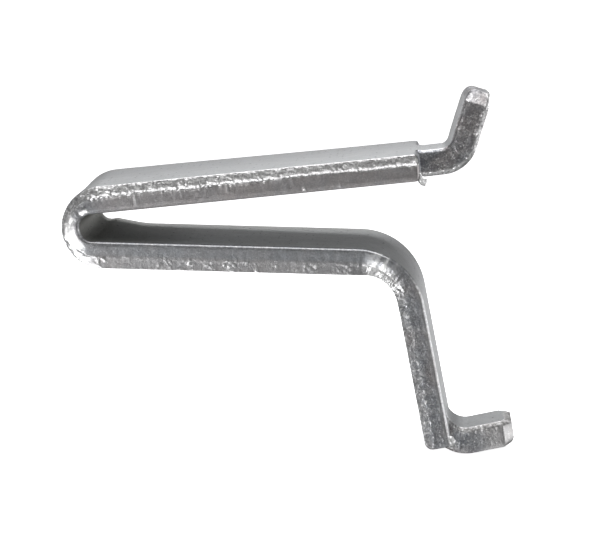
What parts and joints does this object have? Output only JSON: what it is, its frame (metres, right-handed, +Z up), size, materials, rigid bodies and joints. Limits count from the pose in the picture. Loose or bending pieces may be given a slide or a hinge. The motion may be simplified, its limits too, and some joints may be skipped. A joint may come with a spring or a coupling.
{
  "type": "wall anchor",
  "caption": "Strip wall anchor bent into a hairpin with two arms; the upper arm and the bent-down leg each end in shoulders and a narrow hooked tongue.",
  "frame": {"origin": "centre of the hairpin's outer radius, in the middle of the strip's width, which is the axis that the arms flex about", "axes": "+X from the hairpin along the lower arm towards the tongues, Y across the strip's width, +Z up from the lower arm to the upper arm"},
  "size_m": [0.0519, 0.02, 0.042],
  "materials": {
    "galvanised_steel": "hot-dip galvanised, satin, with a few frozen zinc drops"
  },
  "bodies": {
    "leg_side": {"spring_bend": "galvanised_steel", "lower_arm": "galvanised_steel", "corner_bend": "galvanised_steel", "leg": "galvanised_steel", "lower_tongue_bend": "galvanised_steel", "lower_tongue": "galvanised_steel"},
    "free_arm": {"upper_arm": "galvanised_steel", "upper_tongue_bend": "galvanised_steel", "upper_tongue": "galvanised_steel"}
  },
  "joints": [
    {"name": "arm_flex", "type": "hinge", "parent": "leg_side", "child": "free_arm", "pos_m": [0, 0, 0], "axis": [0, 1, 0], "range_deg": [-1, 2], "stiffness_Nm_per_rad": 280, "deforming": ["spring_bend"]}
  ]
}
